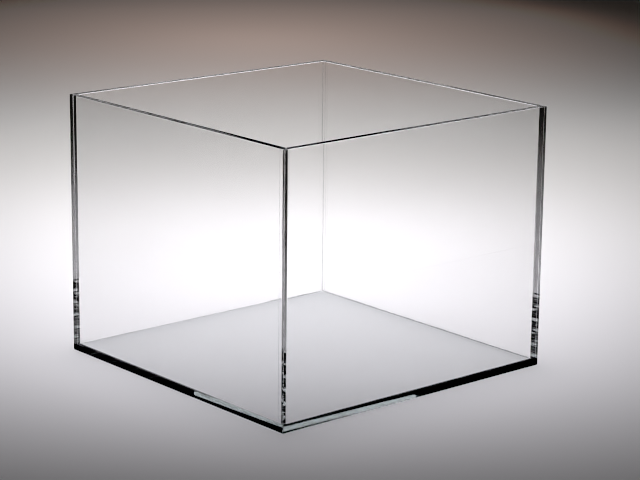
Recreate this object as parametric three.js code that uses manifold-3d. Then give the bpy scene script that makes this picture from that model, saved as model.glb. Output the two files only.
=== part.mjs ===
// Clear acrylic display cube: a five-sided, open-top box of cut sheet, cemented edge to face.
// Millimetres, +Z up. Origin: centre of the underside. -Y is the front, +X the right-hand side.
// The side walls run the full depth, the front and back walls fit between them, and all four
// stand on the base panel. A film of set cement, with a small hollow fillet on the inside,
// fills every joint.
import * as THREE from 'three';
import { mergeVertices } from 'three/addons/utils/BufferGeometryUtils.js';
import Module from 'manifold-3d';

const wasm = await Module();
wasm.setup();

// Driving dimensions. Faces that meet lie on multiples of an eighth of a millimetre, so
// neighbours touch without overlapping.
const WIDTH = 300;        // outside, along X
const DEPTH = 300;        // outside, along Y
const HEIGHT = 238;       // outside, along Z
const WALL = 6;           // thickness of the four walls
const BASE = 6.125;       // thickness of the base, from another sheet of the same nominal 6 mm
const FILM = 0.25;        // thickness of the cement between two panels
const BEAD = 0.75;        // legs of the cement fillet inside each joint
const BEAD_STEPS = 6;     // straight steps round the fillet's hollow quarter circle
const ARRIS = 0.5;        // flat taken off every exposed sheet edge
const OVERSHOOT = 1;      // how far the arris cutter stands clear of the sheet it cuts

// Places worked out from the driving dimensions
const HALF_W = WIDTH / 2;
const HALF_D = DEPTH / 2;
const INNER_W = HALF_W - WALL;          // inside faces of the side walls
const INNER_D = HALF_D - WALL;          // inside faces of the front and back walls
const WALL_FOOT = BASE + FILM;          // underside of the walls
const FACE_END_W = INNER_W - FILM;      // ends of the front and back walls
const BEAD_TOP = BASE + BEAD;           // top of the fillet round the floor
const SEAM_TOP = HEIGHT - ARRIS;        // the upright seams stop under the rim's arris

// Standard-material settings for the two things the box is made of
const CLEAR_SHEET = { color: 0xf2f8f6, roughness: 0.03, metalness: 0, transparent: true, opacity: 0.22 };
const SET_CEMENT = { color: 0xe6eeee, roughness: 0.2, metalness: 0, transparent: true, opacity: 0.35 };

// A closed three.js geometry as a manifold solid
function solid(geometry) {
  geometry.deleteAttribute('normal');
  geometry.deleteAttribute('uv');
  const merged = mergeVertices(geometry);
  const vertProperties = new Float32Array(merged.attributes.position.array);
  const triVerts = new Uint32Array(merged.index.array);
  return new wasm.Manifold(new wasm.Mesh({ numProp: 3, vertProperties, triVerts }));
}

// A manifold solid as a three.js geometry
function surface(body) {
  const { vertProperties, triVerts } = body.getMesh();
  const geometry = new THREE.BufferGeometry();
  geometry.setAttribute('position', new THREE.BufferAttribute(new Float32Array(vertProperties), 3));
  geometry.setIndex(new THREE.BufferAttribute(new Uint32Array(triVerts), 1));
  geometry.computeVertexNormals();
  return geometry;
}

// Box between its lowest and its highest corner
function block(low, high) {
  const geometry = new THREE.BoxGeometry(...high.map((value, axis) => value - low[axis]));
  geometry.translate(...high.map((value, axis) => (value + low[axis]) / 2));
  return solid(geometry);
}

// Straight prism of a closed outline. The outline's two coordinates lie on the two axes that
// come after `along` in the order X, Y, Z, X, Y.
function prism(outline, along, from, to) {
  const shape = new THREE.Shape(outline.map(([u, v]) => new THREE.Vector2(u, v)));
  const geometry = new THREE.ExtrudeGeometry(shape, { depth: to - from, bevelEnabled: false });
  const order = { x: [2, 0, 1], y: [1, 2, 0], z: [0, 1, 2] }[along];
  const position = geometry.attributes.position;
  for (let i = 0; i < position.count; i += 1) {
    const point = [position.getX(i), position.getY(i), position.getZ(i) + from];
    position.setXYZ(i, ...order.map((column) => point[column]));
  }
  return solid(geometry);
}

// Cutter for one arris. [u, v] is the sheet's sharp edge in the plane across `along`, and
// [du, dv] are signs that point from that edge into the sheet.
function arris(along, [u, v], [du, dv]) {
  const outline = [
    [u - du * OVERSHOOT, v - dv * OVERSHOOT],
    [u + du * (ARRIS + OVERSHOOT), v - dv * OVERSHOOT],
    [u - du * OVERSHOOT, v + dv * (ARRIS + OVERSHOOT)],
  ];
  const reach = Math.max(WIDTH, DEPTH, HEIGHT);
  return prism(outline, along, -reach, reach);
}

// Outline of a fillet whose square corner is at [u, v] and whose legs point along [du, dv]
function fillet([u, v], [du, dv]) {
  const outline = [[u, v]];
  for (let i = 0; i <= BEAD_STEPS; i += 1) {
    const turn = (Math.PI / 2) * (i / BEAD_STEPS);
    outline.push([u + du * BEAD * (1 - Math.cos(turn)), v + dv * BEAD * (1 - Math.sin(turn))]);
  }
  return outline;
}

// Side wall on the side that `side` (+1 or -1) gives: full depth, all free edges eased
function sideWall(side) {
  let wall = block(
    [side > 0 ? INNER_W : -HALF_W, -HALF_D, WALL_FOOT],
    [side > 0 ? HALF_W : -INNER_W, HALF_D, HEIGHT],
  );
  wall = wall.subtract(arris('y', [HEIGHT, side * HALF_W], [-1, -side]));
  wall = wall.subtract(arris('y', [HEIGHT, side * INNER_W], [-1, side]));
  for (const end of [-1, 1]) {
    wall = wall.subtract(arris('x', [end * HALF_D, HEIGHT], [-end, -1]));
    wall = wall.subtract(arris('z', [side * HALF_W, end * HALF_D], [-side, -end]));
  }
  return wall;
}

// Front (-1) or back (+1) wall: fits between the side walls, so only its rim is eased
function faceWall(side) {
  const wall = block(
    [-FACE_END_W, side > 0 ? INNER_D : -HALF_D, WALL_FOOT],
    [FACE_END_W, side > 0 ? HALF_D : -INNER_D, HEIGHT],
  );
  return wall
    .subtract(arris('x', [side * HALF_D, HEIGHT], [-side, -1]))
    .subtract(arris('x', [side * INNER_D, HEIGHT], [side, -1]));
}

// Base panel: full footprint, eased round its underside and its four upright corners
function basePanel() {
  let base = block([-HALF_W, -HALF_D, 0], [HALF_W, HALF_D, BASE]);
  for (const side of [-1, 1]) {
    base = base.subtract(arris('y', [0, side * HALF_W], [1, -side]));
    base = base.subtract(arris('x', [side * HALF_D, 0], [-side, 1]));
    for (const end of [-1, 1]) {
      base = base.subtract(arris('z', [side * HALF_W, end * HALF_D], [-side, -end]));
    }
  }
  return base;
}

// Upright seam between the end of a face wall and the inside of a side wall
function cornerSeam(side, end) {
  const film = block(
    [side > 0 ? FACE_END_W : -INNER_W, end > 0 ? INNER_D : -HALF_D, WALL_FOOT],
    [side > 0 ? INNER_W : -FACE_END_W, end > 0 ? HALF_D : -INNER_D, SEAM_TOP],
  );
  const corner = [side * INNER_W, end * INNER_D];
  return film.add(prism(fillet(corner, [-side, -end]), 'z', BEAD_TOP, SEAM_TOP));
}

// Seam between a side wall and the base
function sideBaseSeam(side) {
  const film = block(
    [side > 0 ? INNER_W : -HALF_W, -HALF_D, BASE],
    [side > 0 ? HALF_W : -INNER_W, HALF_D, WALL_FOOT],
  );
  const bead = prism(fillet([BASE, side * INNER_W], [1, -side]), 'y', -INNER_D, INNER_D);
  return film.add(bead);
}

// Seam between a front or back wall and the base. Its fillet butts on the side seams' fillets.
function faceBaseSeam(side) {
  const film = block(
    [-INNER_W, side > 0 ? INNER_D : -HALF_D, BASE],
    [INNER_W, side > 0 ? HALF_D : -INNER_D, WALL_FOOT],
  );
  const reach = INNER_W - BEAD;
  return film.add(prism(fillet([side * INNER_D, BASE], [-side, 1]), 'x', -reach, reach));
}

const cube = new THREE.Group();

// Adds one named sub-part with a material of its own
function place(name, body, look) {
  const mesh = new THREE.Mesh(surface(body), new THREE.MeshStandardMaterial(look));
  mesh.name = name;
  cube.add(mesh);
}

const placeSheet = (name, body) => place(name, body, CLEAR_SHEET);
const placeCement = (name, body) => place(name, body, SET_CEMENT);

placeSheet('base_panel', basePanel());
for (const [side, name] of [[-1, 'left'], [1, 'right']]) {
  placeSheet(`${name}_wall`, sideWall(side));
  placeCement(`base_seam_${name}`, sideBaseSeam(side));
}
for (const [end, name] of [[-1, 'front'], [1, 'back']]) {
  placeSheet(`${name}_wall`, faceWall(end));
  placeCement(`base_seam_${name}`, faceBaseSeam(end));
  placeCement(`corner_seam_${name}_left`, cornerSeam(-1, end));
  placeCement(`corner_seam_${name}_right`, cornerSeam(1, end));
}

export default cube;
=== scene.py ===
import math
import random

import bmesh
import bpy
from mathutils import Matrix, Vector
from mathutils.bvhtree import BVHTree


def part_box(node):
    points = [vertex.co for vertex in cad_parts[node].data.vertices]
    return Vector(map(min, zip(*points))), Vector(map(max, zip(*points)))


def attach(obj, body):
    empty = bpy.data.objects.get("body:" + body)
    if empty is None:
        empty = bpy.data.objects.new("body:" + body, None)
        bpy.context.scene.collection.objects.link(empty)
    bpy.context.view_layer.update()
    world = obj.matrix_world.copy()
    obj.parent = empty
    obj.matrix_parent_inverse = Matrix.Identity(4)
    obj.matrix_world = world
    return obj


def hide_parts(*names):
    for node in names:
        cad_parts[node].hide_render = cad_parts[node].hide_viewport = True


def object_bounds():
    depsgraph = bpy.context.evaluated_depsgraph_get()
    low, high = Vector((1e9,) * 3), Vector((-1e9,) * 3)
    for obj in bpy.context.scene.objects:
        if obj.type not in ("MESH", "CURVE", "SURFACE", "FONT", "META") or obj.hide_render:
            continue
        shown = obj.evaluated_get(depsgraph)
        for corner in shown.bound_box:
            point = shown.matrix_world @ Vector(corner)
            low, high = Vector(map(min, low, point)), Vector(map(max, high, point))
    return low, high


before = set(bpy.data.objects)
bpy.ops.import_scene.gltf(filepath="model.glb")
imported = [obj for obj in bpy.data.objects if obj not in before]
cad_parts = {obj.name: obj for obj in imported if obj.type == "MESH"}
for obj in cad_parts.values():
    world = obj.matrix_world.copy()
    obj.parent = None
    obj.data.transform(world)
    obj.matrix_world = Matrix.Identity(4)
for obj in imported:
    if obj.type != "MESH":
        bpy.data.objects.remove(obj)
cad_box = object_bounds()
scene = bpy.context.scene

# ---------------------------------------------------------------- sizes, from the frame

MM = 0.001
SHEETS = ("base_panel", "front_wall", "back_wall", "left_wall", "right_wall")
FACE_WALLS = ("front_wall", "back_wall")
SEAMS = tuple(sorted(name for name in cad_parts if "_seam_" in name))

HALF_W, HALF_D, TOP = cad_box[1]
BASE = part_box("base_panel")[1].z                     # thickness of the base
WALL = HALF_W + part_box("left_wall")[1].x             # thickness of the walls
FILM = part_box("left_wall")[0].z - BASE               # cement between two sheets
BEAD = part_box("base_seam_left")[1].z - BASE          # legs of the cement fillet
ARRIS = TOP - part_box("corner_seam_front_left")[1].z  # easing of every bare sheet edge
ARRIS_STEPS = 3                                      # facets round that easing
BEAD_STEPS = 8                                       # facets round the fillet
BEAD_PITCH = 5 * MM                                  # how often a hand-run fillet changes size
BEAD_LEAST = 0.6                                     # its thinnest run, as a share of its size
BEAD_SEED = 7                                        # start of the random sizes along it
RECESS = 0.12 * MM                                   # set cement shrinks back from the outside faces
HAIR = 0.01 * MM                                     # clearance between cement and the sheet it holds
PROBE = 0.03 * MM                                    # how far off a face its neighbour is looked for
FLOOR_GAP = 0.3 * MM                                 # air between the underside and the floor
MICROMETRE = 6                                       # decimal places of a metre that show one
FACE_LEAN = 0.9                                      # a sheet's big faces point this squarely across it


# ---------------------------------------------------------------- node helpers

def new_material(name):
    material = bpy.data.materials.new(name)
    material.use_nodes = True
    material.node_tree.nodes.clear()
    return material, material.node_tree


def node(tree, kind, **values):
    """Adds a node. A value named as one of its sockets sets that socket, any other a property."""
    made = tree.nodes.new(kind)
    for key, value in values.items():
        key = key.replace("_", " ") if key.replace("_", " ") in made.inputs else key
        if key in made.inputs:
            made.inputs[key].default_value = value
        else:
            setattr(made, key, value)
    return made


def feed(tree, socket, value):
    """Sets a socket to a plain value, or links another node's output to it."""
    if isinstance(value, bpy.types.NodeSocket):
        tree.links.new(value, socket)
    else:
        socket.default_value = value


def maths(tree, operation, a, b=0.0):
    made = node(tree, "ShaderNodeMath", operation=operation)
    feed(tree, made.inputs[0], a)
    feed(tree, made.inputs[1], b)
    return made.outputs[0]


def blend(tree, factor, a, b):
    """The number a where factor is 0, and b where it is 1."""
    made = node(tree, "ShaderNodeMix", data_type="FLOAT")
    feed(tree, made.inputs[0], factor)
    feed(tree, made.inputs[2], a)
    feed(tree, made.inputs[3], b)
    return made.outputs[0]


def blend_shaders(tree, factor, a, b):
    made = node(tree, "ShaderNodeMixShader")
    feed(tree, made.inputs[0], factor)
    feed(tree, made.inputs[1], a)
    feed(tree, made.inputs[2], b)
    return made.outputs[0]


def noise(tree, coords, scale, detail=2.0, roughness=0.5, stretch=None):
    if stretch is not None:
        mapping = node(tree, "ShaderNodeMapping", Scale=stretch)
        feed(tree, mapping.inputs["Vector"], coords)
        coords = mapping.outputs["Vector"]
    made = node(tree, "ShaderNodeTexNoise", Scale=scale, Detail=detail, Roughness=roughness)
    feed(tree, made.inputs["Vector"], coords)
    return made.outputs["Fac"]


def ramp(tree, value, low, high, to_low, to_high):
    made = node(tree, "ShaderNodeMapRange")
    for socket, number in zip(made.inputs[1:5], (low, high, to_low, to_high)):
        socket.default_value = number
    feed(tree, made.inputs["Value"], value)
    return made.outputs["Result"]


def bumped(tree, height, distance, strength=1.0, normal=None):
    made = node(tree, "ShaderNodeBump", Strength=strength)
    feed(tree, made.inputs["Distance"], distance)
    feed(tree, made.inputs["Height"], height)
    if normal is not None:
        feed(tree, made.inputs["Normal"], normal)
    return made.outputs["Normal"]


def marked(tree, name):
    """The face mark of that name: 1 on the faces that have it, 0 elsewhere."""
    return node(tree, "ShaderNodeAttribute", attribute_name=name).outputs["Fac"]


def close(tree, surface, volume=None):
    out = node(tree, "ShaderNodeOutputMaterial")
    feed(tree, out.inputs["Surface"], surface)
    if volume is not None:
        feed(tree, out.inputs["Volume"], volume)


# ---------------------------------------------------------------- acrylic and cement

ACRYLIC_IOR = 1.49
EDGE_TINT = {"base": (0.555, 0.60, 0.597, 1.0),   # colour that light takes on, a long way through
             "wall": (0.60, 0.60, 0.603, 1.0)}
EDGE_DENSITY = 8.0                                # how fast that tint deepens, per metre
GLARE_KEPT = {"base": 0.2, "wall": 1.0}   # share of surface reflections left by a polarising filter
PAINTED_EDGE_SHADE = {"base": 1.0, "wall": 0.15}   # share of painted shade, a near-black surface, where a cut edge would mirror light
TRAPPED = 0.999                           # a Fresnel share above this is total internal reflection
LAMPS_PASS = (0.985, 0.99, 0.99, 1.0)     # lamp light that gets through one surface
PAINTED_SHADE_COLOUR = (0.01, 0.012, 0.012, 1.0)          # colour of the painted shade inside a cut edge, where light would be mirrored
WAVE_HEIGHT = 0.02 * MM                   # slow waviness of a sheet's faces
POLISH_HEIGHT = 0.002 * MM                # polishing lines on its cut edges
CEMENT_HEIGHT = 0.03 * MM                 # unevenness of a bare fillet
SPECK_TINT = (0.75, 0.77, 0.78, 1.0)      # light that gets through a speck of trapped air
SPECK_SIZE = 0.16                         # as a share of the distance between specks
SPECKS_FROM = 0.62                        # a patch of cement has specks where its noise is above this


def clear_plastic(tree, roughness, normal, glare):
    """Acrylic surface with its glare quietened. Returns the shader and where light is trapped."""
    body = node(tree, "ShaderNodeBsdfPrincipled")
    body.inputs["Base Color"].default_value = (1.0, 1.0, 1.0, 1.0)
    body.inputs["Transmission Weight"].default_value = 1.0
    body.inputs["IOR"].default_value = ACRYLIC_IOR
    through = node(tree, "ShaderNodeBsdfRefraction", IOR=ACRYLIC_IOR)
    mirror = node(tree, "ShaderNodeFresnel", IOR=ACRYLIC_IOR)
    for made in (body, through):
        feed(tree, made.inputs["Roughness"], roughness)
    for made in (body, through, mirror):
        feed(tree, made.inputs["Normal"], normal)
    trapped = maths(tree, "GREATER_THAN", mirror.outputs[0], TRAPPED)
    quiet = blend(tree, trapped, 1.0 - glare, 0.0)
    return blend_shaders(tree, quiet, body.outputs[0], through.outputs[0]), trapped


def let_lamps_through(tree, surface):
    """Clear plastic throws almost no shadow: lamps reach what is behind it, a little dimmed."""
    path = node(tree, "ShaderNodeLightPath")
    clear = node(tree, "ShaderNodeBsdfTransparent", Color=LAMPS_PASS)
    return blend_shaders(tree, path.outputs["Is Shadow Ray"], surface, clear.outputs[0])


def acrylic(kind):
    """Clear cast sheet. Faces have a moulded gloss with faint wipe marks and a slow waviness,
    cut edges carry hair-fine polishing lines, and where cement has taken there is no surface.
    Inside a cut edge, where light would be totally mirrored, a near-black painted shade takes its
    place."""
    material, tree = new_material("clear_acrylic_" + kind)
    coords = node(tree, "ShaderNodeTexCoord").outputs["Object"]
    cut, bonded = marked(tree, "cut"), marked(tree, "bonded")

    wipes = noise(tree, coords, 5.0, 4.0, 0.6, stretch=(1.0, 1.0, 4.0))
    streaks = noise(tree, coords, 90.0, 4.0, 0.7)
    face_finish = ramp(tree, wipes, 0.5, 0.8, 0.0, 0.012)
    cut_finish = ramp(tree, streaks, 0.4, 0.8, 0.004, 0.03)
    roughness = blend(tree, cut, face_finish, cut_finish)

    slow = noise(tree, coords, 14.0, 0.0)
    wavy = bumped(tree, slow, WAVE_HEIGHT)
    hairs = noise(tree, coords, 400.0, 1.0)
    lines = bumped(tree, hairs, blend(tree, cut, 0.0, POLISH_HEIGHT), normal=wavy)

    surface, trapped = clear_plastic(tree, roughness, lines, GLARE_KEPT[kind])
    # painted shade: inside a cut edge, where light would be totally mirrored, a near-black surface
    # takes its place
    painted_shade_share = maths(tree, "MULTIPLY", maths(tree, "MULTIPLY", trapped, cut), PAINTED_EDGE_SHADE[kind])
    painted_shade = node(tree, "ShaderNodeBsdfDiffuse", Color=PAINTED_SHADE_COLOUR)
    surface = blend_shaders(tree, painted_shade_share, surface, painted_shade.outputs[0])
    joined = node(tree, "ShaderNodeBsdfTransparent")
    surface = blend_shaders(tree, bonded, surface, joined.outputs[0])
    volume = node(tree, "ShaderNodeVolumeAbsorption", Color=EDGE_TINT[kind], Density=EDGE_DENSITY)
    close(tree, let_lamps_through(tree, surface), volume.outputs[0])
    return material


def cement():
    """Set solvent cement: clear, a little uneven where it is bare, with specks of trapped air."""
    material, tree = new_material("clear_set_cement")
    coords = node(tree, "ShaderNodeTexCoord").outputs["Object"]
    bonded = marked(tree, "bonded")
    uneven = noise(tree, coords, 300.0, 3.0)
    finish = ramp(tree, uneven, 0.3, 0.7, 0.02, 0.12)
    surface, _ = clear_plastic(tree, finish, bumped(tree, uneven, CEMENT_HEIGHT), GLARE_KEPT["wall"])
    bubbles = node(tree, "ShaderNodeTexVoronoi", Scale=420.0)
    feed(tree, bubbles.inputs["Vector"], coords)
    sparse = maths(tree, "GREATER_THAN", noise(tree, coords, 60.0, 1.0), SPECKS_FROM)
    round_specks = maths(tree, "LESS_THAN", bubbles.outputs["Distance"], SPECK_SIZE)
    specks = maths(tree, "MULTIPLY", round_specks, sparse)
    pale = node(tree, "ShaderNodeBsdfTransparent", Color=SPECK_TINT)
    clear = node(tree, "ShaderNodeBsdfTransparent")
    film = blend_shaders(tree, specks, clear.outputs[0], pale.outputs[0])
    close(tree, let_lamps_through(tree, blend_shaders(tree, bonded, surface, film)))
    return material


# ---------------------------------------------------------------- building the pieces

def box_mesh(low, high):
    bm = bmesh.new()
    bmesh.ops.create_cube(bm, size=1.0)
    size, middle = high - low, (high + low) / 2
    for vert in bm.verts:
        vert.co = Vector(tuple(vert.co[axis] * size[axis] + middle[axis] for axis in range(3)))
    return bm


def split(bm, axis, place):
    """Cuts the mesh's faces along the plane at `place` on `axis`."""
    normal = Vector(tuple(float(k == axis) for k in range(3)))
    everything = bm.verts[:] + bm.edges[:] + bm.faces[:]
    bmesh.ops.bisect_plane(bm, geom=everything, plane_co=normal * place, plane_no=normal)


def solid_tree(name):
    bm = bmesh.new()
    bm.from_mesh(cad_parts[name].data)
    tree = BVHTree.FromBMesh(bm)
    bm.free()
    return tree


SEAM_TREES = [(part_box(name), solid_tree(name)) for name in SEAMS]


def in_cement(point):
    """True if the point lies inside one of the CAD model's cement runs."""
    for (low, high), tree in SEAM_TREES:
        if all(low[axis] < point[axis] < high[axis] for axis in range(3)):
            place, normal, _, _ = tree.find_nearest(point)
            if (point - place).dot(normal) < 0:
                return True
    return False


def bare_edges(bm, name):
    """Edges left bare on the finished box: its rim, its outer upright corners, its underside."""
    found = []
    for edge in bm.edges:
        a, b = (vert.co for vert in edge.verts)
        middle = (a + b) / 2
        along = max(range(3), key=lambda axis: abs(a[axis] - b[axis]))
        if along == 2:
            bare = abs(abs(middle.x) - HALF_W) < PROBE and abs(abs(middle.y) - HALF_D) < PROBE
        elif abs(middle.z - TOP) < PROBE:
            bare = along == 0 or name not in FACE_WALLS
        else:
            bare = middle.z < PROBE
        if bare:
            found.append(edge)
    return found


def make_piece(bm, name, material, marks):
    """Turns the mesh into an object. `marks` maps the name of a face mark to its faces' indices."""
    mesh = bpy.data.meshes.new(name)
    bm.to_mesh(mesh)
    bm.free()
    for mark, faces in marks.items():
        values = mesh.attributes.new(mark, "FLOAT", "FACE")
        for index in faces:
            values.data[index].value = 1.0
    mesh.materials.append(material)
    piece = bpy.data.objects.new(name, mesh)
    scene.collection.objects.link(piece)
    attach(piece, "root")
    return piece


def build_sheet(name, material):
    """One panel: eased bare edges, its cut edges and its cemented patches marked."""
    low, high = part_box(name)
    thin = min(range(3), key=lambda axis: high[axis] - low[axis])
    bm = box_mesh(low, high)
    bmesh.ops.bevel(bm, geom=bare_edges(bm, name), offset=ARRIS, segments=ARRIS_STEPS,
                    profile=0.5, affect="EDGES")
    places = {(axis, round(corner[axis], MICROMETRE))
              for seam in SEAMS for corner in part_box(seam) for axis in range(3)}
    for axis, place in sorted(places):
        if low[axis] + PROBE < place < high[axis] - PROBE:
            split(bm, axis, place)
    bm.normal_update()
    bm.faces.index_update()
    bonded = [face.index for face in bm.faces
              if in_cement(face.calc_center_median() + face.normal * PROBE)]
    cut = [face.index for face in bm.faces if abs(face.normal[thin]) < FACE_LEAN]
    piece = make_piece(bm, name + "_sheet", material, {"cut": cut, "bonded": bonded})
    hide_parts(name)
    return piece


def sweep(bm, rings, bare_sides):
    """Closed solid through rings of points. Sides numbered in bare_sides, and both ends, stay bare.
    Returns the other faces, which lie against a sheet."""
    rows = [[bm.verts.new(point) for point in ring] for ring in rings]
    count, hidden = len(rows[0]), []
    for row, following in zip(rows, rows[1:]):
        for i in range(count):
            j = (i + 1) % count
            face = bm.faces.new((row[i], row[j], following[j], following[i]))
            if i not in bare_sides:
                hidden.append(face)
    bm.faces.new(rows[0][::-1])
    bm.faces.new(rows[-1])
    return hidden


def build_seam(name, material, rng):
    """One run of cement. Across it, `a` runs inward from the outside face and `b` away from the
    through-running sheet: a thin film between the sheets, then a hollow fillet in the corner."""
    low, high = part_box(name)
    upright = name.startswith("corner")
    if upright:
        side, end = math.copysign(1, low.x), math.copysign(1, low.y)
        inner_w = HALF_W - WALL

        def place(a, b, along):
            return Vector((side * (inner_w - b), end * (HALF_D - a), along))
        film_span = (low.z + HAIR, high.z)
        bead_span = (BASE + BEAD, high.z)
    elif high.x - low.x < high.y - low.y:
        side = math.copysign(1, low.x)

        def place(a, b, along):
            return Vector((side * (HALF_W - a), along, BASE + b))
        film_span = (-HALF_D + RECESS, HALF_D - RECESS)
        bead_span = (-HALF_D + WALL + HAIR, HALF_D - WALL - HAIR)
    else:
        side = math.copysign(1, low.y)

        def place(a, b, along):
            return Vector((along, side * (HALF_D - a), BASE + b))
        film_span = (-HALF_W + WALL + HAIR, HALF_W - WALL - HAIR)
        bead_span = tuple(sign * (HALF_W - WALL - BEAD - HAIR) for sign in (-1, 1))

    bm = bmesh.new()
    outline = [(RECESS, HAIR), (WALL - HAIR, HAIR), (WALL - HAIR, FILM - HAIR), (RECESS, FILM - HAIR)]
    hidden = sweep(bm, [[place(a, b, t) for a, b in outline] for t in film_span], bare_sides={3})

    steps = max(2, round((bead_span[1] - bead_span[0]) / BEAD_PITCH))
    turns = [math.pi / 2 * k / BEAD_STEPS for k in range(BEAD_STEPS + 1)]
    rings = []
    for i in range(steps + 1):
        leg = BEAD * rng.uniform(BEAD_LEAST, 1.0) - 2 * HAIR
        arc = [(WALL + HAIR + leg * (1 - math.sin(turn)), HAIR + leg * (1 - math.cos(turn)))
               for turn in turns]
        along = bead_span[0] + (bead_span[1] - bead_span[0]) * i / steps
        rings.append([place(a, b, along) for a, b in [(WALL + HAIR, HAIR)] + arc])
    hidden += sweep(bm, rings, bare_sides=set(range(1, BEAD_STEPS + 1)))

    bmesh.ops.recalc_face_normals(bm, faces=bm.faces[:])
    bm.faces.index_update()
    against = [face.index for face in hidden]
    piece = make_piece(bm, name + "_cement", material, {"bonded": against})
    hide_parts(name)
    return piece


# ---------------------------------------------------------------- camera, floor and light

HEADING = math.radians(49.102)      # from +Y towards -X
LOOKS_DOWN = math.radians(14.397)
TILT = math.radians(0.675)
CAMERA_PLACE = (1.4594, -1.2463, 0.6028)
LENS = 123.87                       # millimetres, in front of a sensor SENSOR wide
SENSOR = 36.0
AWAY = Vector((-math.sin(HEADING), math.cos(HEADING), 0.0))
ACROSS = Vector((math.cos(HEADING), math.sin(HEADING), 0.0))


def add_camera():
    forward = AWAY * math.cos(LOOKS_DOWN) - Vector((0, 0, math.sin(LOOKS_DOWN)))
    up = ACROSS.cross(forward)
    right = ACROSS * math.cos(TILT) + up * math.sin(TILT)
    up = right.cross(forward)
    data = bpy.data.cameras.new("camera")
    data.sensor_width = SENSOR
    data.lens = LENS
    camera = bpy.data.objects.new("camera", data)
    scene.collection.objects.link(camera)
    turn = Matrix((right, up, -forward)).transposed().to_4x4()
    camera.matrix_world = Matrix.Translation(CAMERA_PLACE) @ turn
    scene.camera = camera


FLOOR_RADIUS = 5.0
STUDIO_TINT = (1.04, 1.0, 0.97)
HORIZON = 0.41          # brightness of the far studio, and of the far floor, which meets it unseen
DIM_FLOOR = 0.038       # brightness of the floor where only the ceiling lights it
VIEW_WIDENS = 0.145     # by how much the camera's view widens, to each side, for each metre behind
FAR_BEFORE = (0.41, 0.95)   # metres from the object where the far light starts and is full: before it,
FAR_ASLANT = (0.9, 1.45)    # slantwise behind it,
FAR_BEHIND = (2.5, 3.5)     # straight behind it,
FAR_BESIDE = (0.33, 0.85)   # and to the side of the camera's view
SLANT_BEFORE = 0.25         # how much a metre to the side counts as a metre before the object,
SLANT_BEHIND = 0.5          # and as one behind it
BOARD_TONES = (0.79, 0.81)  # the two greys that the floor is mottled in
GRAIN_HEIGHT = 0.05 * MM


def far_light(tree, coords):
    """Where the light of the room beyond the set falls on the floor: 0 round the object and in the
    strip behind it that the camera looks along, rising to 1 far off on every side."""
    away = node(tree, "ShaderNodeVectorMath", operation="DOT_PRODUCT")
    across = node(tree, "ShaderNodeVectorMath", operation="DOT_PRODUCT")
    for made, direction in ((away, AWAY), (across, ACROSS)):
        feed(tree, made.inputs[0], coords)
        made.inputs[1].default_value = direction
    behind = away.outputs["Value"]
    beside = maths(tree, "ABSOLUTE", across.outputs["Value"])
    before = maths(tree, "SUBTRACT", maths(tree, "MULTIPLY", beside, SLANT_BEFORE), behind)
    aslant = maths(tree, "ADD", maths(tree, "MULTIPLY", beside, SLANT_BEHIND), behind)
    out_of_view = maths(tree, "SUBTRACT", beside, maths(tree, "MULTIPLY", behind, VIEW_WIDENS))
    sides = maths(tree, "MULTIPLY", ramp(tree, aslant, *FAR_ASLANT, 0.0, 1.0),
                  ramp(tree, out_of_view, *FAR_BESIDE, 0.0, 1.0))
    ends = maths(tree, "MAXIMUM", ramp(tree, before, *FAR_BEFORE, 0.0, 1.0),
                 ramp(tree, behind, *FAR_BEHIND, 0.0, 1.0))
    return maths(tree, "MAXIMUM", sides, ends)


def add_floor():
    """A wide round sheet of pale matt board. The light that falls on it far off is part of its
    material: lamps strong enough for it draw the renderer's samples away from the box, and the
    floor seen through the box's base then comes out too dark."""
    material, tree = new_material("pale_matt_floor")
    coords = node(tree, "ShaderNodeTexCoord").outputs["Object"]
    board = node(tree, "ShaderNodeBsdfPrincipled", Roughness=0.9)
    body = noise(tree, coords, 3.0, 3.0)
    tone = node(tree, "ShaderNodeMix", data_type="RGBA")
    feed(tree, tone.inputs[0], body)
    for socket, grey in zip(tone.inputs[6:8], BOARD_TONES):
        socket.default_value = (grey, grey, grey, 1.0)
    feed(tree, board.inputs["Base Color"], tone.outputs[2])
    board.inputs["Specular IOR Level"].default_value = 0.1
    grain = noise(tree, coords, 900.0, 3.0)
    feed(tree, board.inputs["Normal"], bumped(tree, grain, GRAIN_HEIGHT, 0.3))
    board.inputs["Emission Color"].default_value = (*STUDIO_TINT, 1.0)
    far_glow = maths(tree, "MULTIPLY", far_light(tree, coords), HORIZON - DIM_FLOOR)
    feed(tree, board.inputs["Emission Strength"], far_glow)
    material.cycles.emission_sampling = "NONE"
    close(tree, board.outputs[0])
    bm = bmesh.new()
    bmesh.ops.create_circle(bm, cap_ends=True, segments=96, radius=FLOOR_RADIUS)
    bmesh.ops.translate(bm, verts=bm.verts, vec=(0.0, 0.0, -FLOOR_GAP))
    mesh = bpy.data.meshes.new("floor")
    bm.to_mesh(mesh)
    bm.free()
    mesh.materials.append(material)
    floor = bpy.data.objects.new("floor", mesh)
    scene.collection.objects.link(floor)


def add_softbox(name, away, across, height, long, wide, spread, colour, power):
    """A gridded softbox that hangs over the floor and points straight down."""
    data = bpy.data.lights.new(name, "AREA")
    data.shape = "RECTANGLE"
    data.size = wide
    data.size_y = long
    data.spread = math.radians(spread)
    data.color = colour
    data.energy = power
    light = bpy.data.objects.new(name, data)
    light.location = AWAY * away + ACROSS * across + Vector((0.0, 0.0, height))
    light.rotation_euler = (0.0, 0.0, HEADING)
    light.visible_camera = False
    light.visible_transmission = False
    light.visible_glossy = False
    scene.collection.objects.link(light)


CEILING = 0.048         # brightness of the soft ceiling
DARK_BAND = 0.01        # brightness of the studio walls between their pale foot and the ceiling
WALL_TONES = ((0.0, HORIZON), (0.1, HORIZON), (0.18, 0.28), (0.2, DARK_BAND), (0.36, DARK_BAND),
              (0.6, CEILING), (1.0, CEILING))   # how steeply up one looks, and the brightness there


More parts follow.
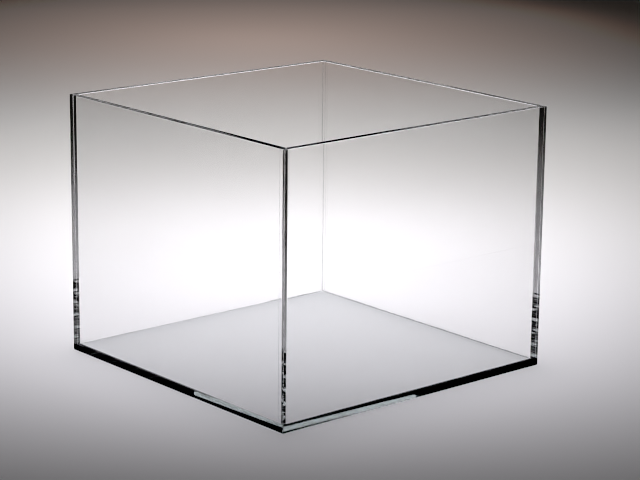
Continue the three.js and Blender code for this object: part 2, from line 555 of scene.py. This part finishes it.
def add_surroundings():
    """Studio walls that are pale low down and dark above, under a dim soft ceiling."""
    world = bpy.data.worlds.new("studio")
    world.use_nodes = True
    tree = world.node_tree
    tree.nodes.clear()
    ray = node(tree, "ShaderNodeTexCoord").outputs["Generated"]
    split_up = node(tree, "ShaderNodeSeparateXYZ")
    feed(tree, split_up.inputs[0], ray)
    tone = node(tree, "ShaderNodeValToRGB")
    feed(tree, tone.inputs[0], split_up.outputs["Z"])
    elements = tone.color_ramp.elements
    while len(elements) < len(WALL_TONES):
        elements.new(1.0)
    for element, (place, value) in zip(elements, WALL_TONES):
        element.position = place
        element.color = (*(value * part for part in STUDIO_TINT), 1.0)
    back = node(tree, "ShaderNodeBackground")
    feed(tree, back.inputs["Color"], tone.outputs["Color"])
    out = node(tree, "ShaderNodeOutputWorld")
    feed(tree, out.inputs["Surface"], back.outputs[0])
    scene.world = world


MOST_TURNS = 64


def set_light_paths():
    """Light is mirrored a dozen times and more inside a sheet before it leaves by an edge."""
    cycles = scene.cycles
    cycles.max_bounces = MOST_TURNS
    cycles.transmission_bounces = MOST_TURNS
    cycles.glossy_bounces = MOST_TURNS
    cycles.transparent_max_bounces = MOST_TURNS
    cycles.caustics_reflective = False
    cycles.caustics_refractive = False
    cycles.filter_width = 1.0


# Brightness in, and brightness shown
SHADOWS = ((0.02, 0.001), (0.04, 0.009), (0.06, 0.036), (0.085, 0.083))


def set_tone():
    """Shows colours as they are, but for the deepest shadows, which are pressed towards black."""
    view = scene.view_settings
    view.view_transform = "Standard"
    view.use_curve_mapping = True
    tone = view.curve_mapping
    for place, value in SHADOWS:
        tone.curves[3].points.new(place, value)
    for point in tone.curves[3].points:
        point.handle_type = "VECTOR"
    tone.update()


add_camera()
wall_material, base_material, cement_material = acrylic("wall"), acrylic("base"), cement()
for sheet_name in SHEETS:
    build_sheet(sheet_name, base_material if sheet_name == "base_panel" else wall_material)
chance = random.Random(BEAD_SEED)
for seam_name in SEAMS:
    build_seam(seam_name, cement_material, chance)
add_floor()
add_softbox("pool", away=0.23, across=-0.01, height=1.21, long=0.73, wide=0.60, spread=38.0,
            colour=(1.02, 1.0, 1.09), power=1.40)
add_softbox("backlight", away=0.70, across=-0.04, height=2.38, long=1.01, wide=1.04, spread=38.5,
            colour=(1.03, 1.0, 0.99), power=3.79)
add_softbox("glow", away=1.80, across=-0.09, height=2.57, long=0.20, wide=0.20, spread=32.9,
            colour=(1.36, 1.0, 0.86), power=0.515)
add_surroundings()
set_light_paths()
set_tone()
